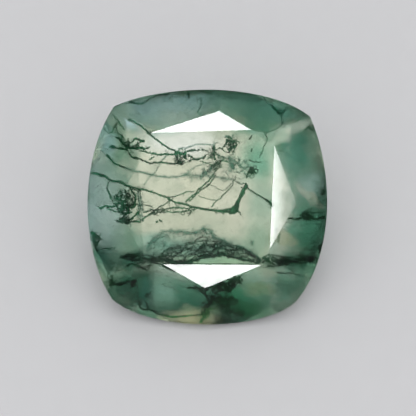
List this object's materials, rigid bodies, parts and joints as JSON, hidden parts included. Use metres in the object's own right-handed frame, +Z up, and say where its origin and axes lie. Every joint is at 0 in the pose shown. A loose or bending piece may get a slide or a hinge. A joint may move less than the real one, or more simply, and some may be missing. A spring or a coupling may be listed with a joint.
{
  "type": "faceted moss agate",
  "caption": "Cushion-cut translucent gemstone with a broad flat table, bowed sides and a pointed, faceted underside, lying on a lower facet.",
  "frame": {"origin": "middle of the stone's box, on the surface that it lies on", "axes": "+X runs across the stone to the right as its table is seen, +Z is up, and the table faces up and towards -Y"},
  "size_m": [0.014, 0.0118, 0.0082],
  "materials": {
    "moss_agate": "polished"
  },
  "bodies": {
    "root": {"moss_agate": "moss_agate"}
  },
  "joints": []
}
